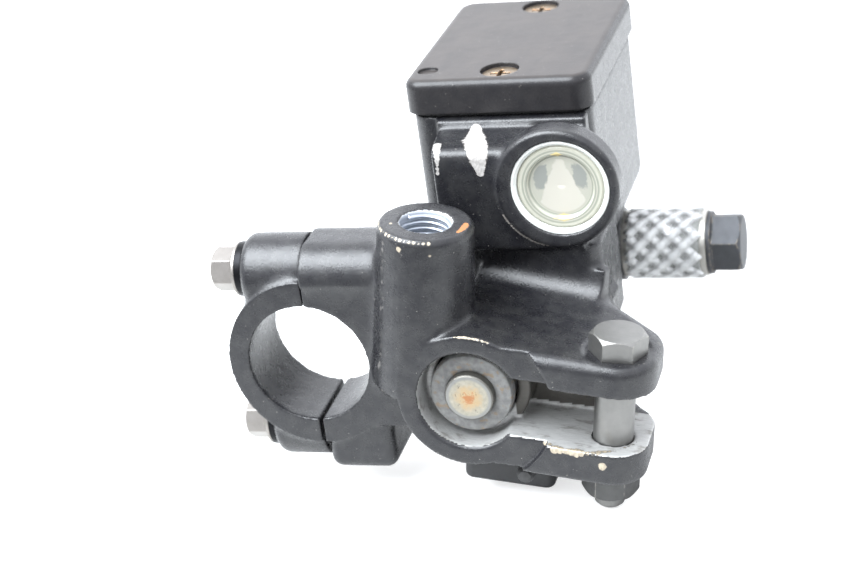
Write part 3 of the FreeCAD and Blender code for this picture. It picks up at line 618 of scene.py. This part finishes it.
def machined_cap(points):
    """True on the cap's bore, split faces and bolt seats."""
    around_bar, _ = from_axis(points, Vector((0, 0, 0)), Y)
    keep = around_bar < BAR_FACE
    keep |= points[:, 0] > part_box("clamp_cap")[1].x / MM - 0.9
    washer_r = 5.7
    for washer_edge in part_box("clamp_washers"):
        inward = washer_r * MM * (1 if washer_edge.z < 0 else -1)
        around, _ = from_axis(points, Vector((0, 0, washer_edge.z + inward)), X)
        keep |= around < washer_r + 0.9
    return keep


CREAM = (0.42, 0.36, 0.27)
ALUMINIUM = (0.50, 0.48, 0.46)
RUST = (0.46, 0.17, 0.05)


def store(mesh, name, kind, key, values):
    mesh.attributes.new(name, kind, "POINT").data.foreach_set(key, values.astype(np.float32).ravel())


def paint_spots(mesh, spots, milled):
    """Stores how bare each point is (the bare spots include a painted highlight line), its tint, and how far
    it is machined metal.
    """
    points = read_points(mesh)
    strength = np.zeros(len(points))
    tint = np.ones((len(points), 4))
    for place, radius, color in spots:
        distance = np.linalg.norm(points - np.array(place), axis=1)
        value = np.clip(1.5 - distance / (radius * MM), 0, 1)
        closer = value > strength
        strength[closer] = value[closer]
        tint[closer, :3] = color
    store(mesh, "bare", "FLOAT", "value", strength)
    store(mesh, "tint", "FLOAT_COLOR", "color", tint)
    store(mesh, "milled", "FLOAT", "value", milled(points / MM))


def along(points, sizes, color, gap=0.55):
    """Spots strung along a line of points, in metres, with radii in millimetres."""
    spots = []
    for (a, b), (size_a, size_b) in zip(zip(points, points[1:]), zip(sizes, sizes[1:])):
        steps = max(1, int((b - a).length / (gap * MM)))
        for k in range(steps):
            t = k / steps
            spots.append((a.lerp(b, t), size_a + (size_b - size_a) * t, color))
    return spots


def mirror_rim(degrees, radius, below):
    angle = math.radians(degrees)
    across = LEVER_X * math.cos(angle) + Y * math.sin(angle)
    return MIRROR_TOP + (across * radius - LEVER_UP * below) * MM


def mirror_spots():
    worn = [mirror_rim(degrees, 9.2, 0.5) for degrees in range(186, 300, 6)]
    sizes = [0.2 + 0.2 * math.sin(2.1 * i) ** 2 for i in range(len(worn))]
    spots = along(worn, sizes, CREAM)
    spots += [(mirror_rim(252, 10.0, 2.3), 0.7, CREAM), (mirror_rim(289, 10.0, 2.9), 0.5, CREAM),
              (mirror_rim(205, 7.0, 0.0), 0.4, CREAM)]
    rust = [mirror_rim(degrees, 7.9, 0.1) for degrees in (-24, -10, 2, 12)]
    return spots + along(rust, [0.4, 0.7, 0.7, 0.3], RUST)


def ear_spots():
    """Worn line along the machined face's edge, and chips on the lower ear's front."""
    face_y = BORE.y / MM - 1.5
    edge = [lever_point(x, face_y, z) for x, z in ((29.7, 14.2), (33.7, 14.5), (36.7, 14.4), (39.2, 13.8))]
    spots = along(edge, [0.3, 0.45, 0.4, 0.3], CREAM)
    front = [(50.7, -15.9), (53.0, -17.7), (55.3, -17.9), (57.4, -17.8), (59.5, -17.8), (61.6, -17.4),
             (64.7, -15.8), (67.6, -12.6), (69.0, -9.6)]
    sizes = [0.5, 0.9, 0.6, 0.9, 0.5, 0.8, 0.5, 0.6, 0.4]
    spots += along([lever_point(x, y, -6.5) for x, y in front], sizes, CREAM, 1.0)
    spots.append((lever_point(62.6, -18.5, -8.4), 0.9, CREAM))
    return spots


def block_spots():
    """Two ragged patches chipped down to the metal, a big one left of the sight glass boss and a thin one at
    the block's near edge, and a painted highlight line along the boss's lower-left rim.
    """
    ragged = [(-19.3, 12.0, 8.1), (-18.2, 6.3, 8.1), (-16.6, 1.4, 8.1), (-16.2, 0, 6.9), (-16.1, 0, 4.5),
              (-15.8, 0, 2.3)]
    thin = [(-25.4, 4.1, 8.1), (-24.6, 0, 8.0), (-24.7, 0, 5.5), (-24.9, 0, 2.6)]
    block_face = Vector((SIGHT.x, BLOCK_FACE_Y * MM, SIGHT.z))
    spots = []
    for places, sizes in ((ragged, [1.2, 2.4, 2.3, 2.0, 1.2, 0.4]), (thin, [0.9, 0.8, 0.4, 0.5])):
        spots += along([block_face + Vector(place) * MM for place in places], sizes, ALUMINIUM, 0.8)
    # Painted highlight: grey spots strung along the boss's lower-left rim stand in for the light line on its
    # edge.
    boss = Vector(BOSS_RIM) * MM
    rim = [boss + Vector((math.cos(a), 0, math.sin(a))) * BOSS_RIM_R * MM
           for a in (math.radians(d) for d in range(205, 262, 6))]
    return spots + along(rim, [0.35] * len(rim), (0.24, 0.22, 0.20))


def housing_milled(points):
    """1 on bright bare metal, about 0.4 on dull machined or rubbed metal, 0 where it is painted."""
    around_bore, along_bore = from_axis(points, BORE, Y)
    _, above_slot = from_axis(points, PIVOT, LEVER_UP)
    around_mirror, up_mirror = from_axis(points, MIRROR, LEVER_UP)
    value = np.zeros(len(points))
    counterbore = (around_bore < 10.7) & (along_bore > -1.0) & (along_bore < 20)
    value[counterbore] = 0.42
    slot = (np.abs(above_slot) < 6.45) & (points[:, 0] > 42) & (points[:, 1] < 0)
    value[slot] = 0.34
    value[slot & (above_slot < -5.4)] = 0.42
    value[(around_mirror < 5.3) & (up_mirror > THREAD_FLOOR)] = 1.0
    return value


def cap_milled(points):
    """The cap shows no bare metal."""
    return np.zeros(len(points))


def build_castings():
    voxel = 0.36
    passes = round(2.2 * (REACH / voxel) ** 2)
    # These spots hold the chips and a painted highlight line on the sight glass boss's rim.
    housing_chips_and_highlight = mirror_spots() + ear_spots() + block_spots()
    jobs = (("housing", machined_housing, housing_chips_and_highlight, housing_milled, "housing_group"),
            ("clamp_cap", machined_cap, [], cap_milled, "cap_group"))
    for node, machined, spots, milled, body in jobs:
        mesh = remeshed(node, voxel)
        cast_corners(mesh, machined, passes)
        paint_spots(mesh, spots, milled)
        piece = new_piece(node + "_casting", mesh, cast_paint(node + "_paint"), body)
        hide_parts(node)


# ---------------------------------------------------------------- threads, boot, spring, hose

def build_threads(materials):
    pitch = 1.25 * MM
    section = [(-0.55 * MM, 5.2 * MM), (-0.08 * MM, 4.38 * MM), (0.08 * MM, 4.38 * MM), (0.55 * MM, 5.2 * MM)]
    start = MIRROR - LEVER_UP * 9.2 * MM
    mesh = helix_ridge("mirror_thread_ridge", start, LEVER_UP, section, pitch, 14.3)
    new_piece("mirror_thread_ridge", mesh, materials["thread"], "housing_group")


def build_boot(materials):
    low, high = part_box("dust_boot")
    length = (high.y - low.y) / MM
    profile = [(0.0, 5.1), (0.0, 7.7), (0.5, 8.35), (3.0, 8.35), (4.5, 6.7), (6.6, 8.3), (8.4, 6.7),
               (10.4, 8.3), (length - 1.5, 8.4), (length, 8.4), (length, 7.3), (11.0, 7.2), (8.4, 5.7),
               (6.6, 7.1), (4.6, 5.7), (2.4, 7.0), (1.4, 6.8), (1.4, 5.1)]
    points = [Vector((h * MM, r * MM)) for h, r in profile]
    mesh = revolved("boot", spline(points, 4), Vector((BORE.x, low.y, BORE.z)), Y)
    boot = new_piece("dust_boot_bellows", mesh, materials["dust_boot"], "housing_group")
    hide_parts("dust_boot")
    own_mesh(boot)


def build_spring(materials):
    spring = new_piece("return_spring_coil", nodes["return_spring"].data.copy(),
                       materials["return_spring"], "housing_group")
    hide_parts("return_spring")
    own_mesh(spring)


def build_hose(materials):
    """White braid strands wound both ways under a clear skin."""
    low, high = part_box("outlet_braid")
    length = high.x - low.x
    start = Vector((low.x, OUTLET.y, OUTLET.z))
    strands = 10
    steps = 28
    lead = 50 * MM
    width = 1.2 * MM
    thick = 0.10 * MM
    bm = bmesh.new()
    for way in (1, -1):
        radius = 7.74 * MM if way > 0 else 7.80 * MM
        for i in range(strands):
            loops = []
            for k in range(steps + 1):
                height = length * (0.01 + 0.98 * k / steps)
                angle = way * 2 * math.pi * height / lead + 2 * math.pi * i / strands
                out = Vector((0, math.cos(angle), math.sin(angle)))
                across = (X.cross(out) * way - X).normalized()
                centre = start + X * height + out * radius
                loops.append([centre + across * width - out * 0.2 * thick, centre + out * thick,
                              centre - across * width - out * 0.2 * thick, centre - out * thick])
            add_mesh(bm, swept_loops("strand", loops))
    braid = new_piece("hose_braid", mesh_from("hose_braid", bm), materials["braid"],
                      "housing_group")
    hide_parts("outlet_braid")
    profile = [(0.0, 7.92), (0.3, 8.08), (length / MM - 0.3, 8.08), (length / MM, 7.92)]
    profile = [Vector((h * MM, r * MM)) for h, r in profile]
    mesh = revolved("skin", profile, start, X, 128)
    new_piece("hose_skin", mesh, materials["skin"], "housing_group")


# ---------------------------------------------------------------- stage, light, camera

def build_floor():
    s = Shader("floor")
    color = s.mix(s.noise(60.0, 3), (0.56, 0.56, 0.55), (0.60, 0.60, 0.59))
    split = s.node("ShaderNodeSeparateXYZ", {0: s.place})
    # Painted shadow: the floor turns dark grey in front of the object, beyond the camera's view, so that
    # front faces reflect a darker floor.
    color = s.mix(s.step(split.outputs["Y"], -60, -140), color, (0.14, 0.14, 0.14))
    seen = s.node("ShaderNodeLightPath").outputs["Is Camera Ray"]
    lift = s.node("ShaderNodeEmission", {"Strength": s.math("MULTIPLY", seen, 0.6)}).outputs[0]
    lit = s.node("ShaderNodeAddShader", {0: s.surface(color, 0.8), 1: lift}).outputs[0]
    material = s.finish(lit)
    bm = bmesh.new()
    bmesh.ops.create_grid(bm, x_segments=8, y_segments=8, size=6.0)
    floor = bpy.data.objects.new("floor", mesh_from("floor", bm))
    floor.location.z = cad_bounds[0].z - 0.4 * MM
    bpy.context.scene.collection.objects.link(floor)
    dress(floor, material)


def build_world():
    """Bright room: darker in front, white behind and above."""
    world = bpy.data.worlds.new("studio")
    world.use_nodes = True
    tree = world.node_tree
    tree.nodes.clear()

    def add(kind, **settings):
        node = tree.nodes.new(kind)
        for key, value in settings.items():
            setattr(node, key, value)
        return node

    def mixed(source, low_from, high_from, a, b):
        share = add("ShaderNodeMapRange", interpolation_type="SMOOTHSTEP")
        share.inputs["From Min"].default_value = low_from
        share.inputs["From Max"].default_value = high_from
        tree.links.new(source, share.inputs["Value"])
        mix = add("ShaderNodeMix", data_type="RGBA")
        tree.links.new(share.outputs[0], mix.inputs["Factor"])
        for socket, value in ((mix.inputs[6], a), (mix.inputs[7], b)):
            if isinstance(value, tuple):
                socket.default_value = value
            else:
                tree.links.new(value, socket)
        return mix.outputs[2]

    split = add("ShaderNodeSeparateXYZ")
    tree.links.new(add("ShaderNodeTexCoord").outputs["Generated"], split.inputs[0])
    around = mixed(split.outputs["Y"], -0.8, 1.0, (0.75, 0.77, 0.82, 1), (2.7, 2.8, 2.95, 1))
    color = mixed(split.outputs["Z"], 0.0, 0.6, around, (2.3, 2.37, 2.5, 1))
    background = add("ShaderNodeBackground")
    tree.links.new(color, background.inputs["Color"])
    tree.links.new(background.outputs[0], add("ShaderNodeOutputWorld").inputs["Surface"])
    bpy.context.scene.world = world


def add_area(name, place, target, size, power, color):
    light = bpy.data.lights.new(name, "AREA")
    light.shape = "DISK"
    light.size = size
    light.energy = power
    light.color = color
    lamp = bpy.data.objects.new(name, light)
    lamp.location = place
    lamp.rotation_euler = (Vector(target) - Vector(place)).to_track_quat("-Z", "Y").to_euler()
    bpy.context.scene.collection.objects.link(lamp)


def focus_point():
    point = bpy.data.objects.new("focus", None)
    point.location = (BORE + PIVOT) / 2
    bpy.context.scene.collection.objects.link(point)
    return point


def build_camera():
    """The camera is described in the lever group's upright frame: turn, height, roll, distance, shift."""
    azimuth, elevation, roll = (math.radians(a) for a in (14.4, 26.8, 0.6))
    distance, shift_x, shift_y = 435.8, 22.4, 11.8
    back = Vector((math.sin(azimuth) * math.cos(elevation), -math.cos(azimuth) * math.cos(elevation),
                   math.sin(elevation)))
    right = Vector((math.cos(azimuth), math.sin(azimuth), 0))
    up = back.cross(right)
    right, up = (right * math.cos(roll) + up * math.sin(roll), up * math.cos(roll) - right * math.sin(roll))
    axes = Matrix((right, up, back)).transposed()
    place = (back * distance + right * shift_x + up * shift_y) * MM
    lean = Matrix.Rotation(LEAN, 3, "Y")
    data = bpy.data.cameras.new("camera")
    data.sensor_width = 36.0
    data.lens = 88.36
    data.clip_start = 0.01
    data.dof.use_dof = True
    data.dof.focus_object = focus_point()
    data.dof.aperture_fstop = 20
    camera = bpy.data.objects.new("camera", data)
    camera.matrix_world = Matrix.Translation(lean @ place) @ (lean @ axes).to_4x4()
    bpy.context.scene.collection.objects.link(camera)
    bpy.context.scene.camera = camera


# ---------------------------------------------------------------- build

materials = build_materials()
for node_name, node_object in nodes.items():
    if node_name in materials:
        dress(node_object, materials[node_name])
build_castings()
build_threads(materials)
build_boot(materials)
build_spring(materials)
build_hose(materials)
build_floor()
build_world()
add_area("overhead", (-0.45, -0.40, 1.0), (0.03, 0.02, 0), 1.1, 50, (0.90, 0.95, 1.0))
build_camera()
bpy.context.scene.view_settings.view_transform = "Standard"
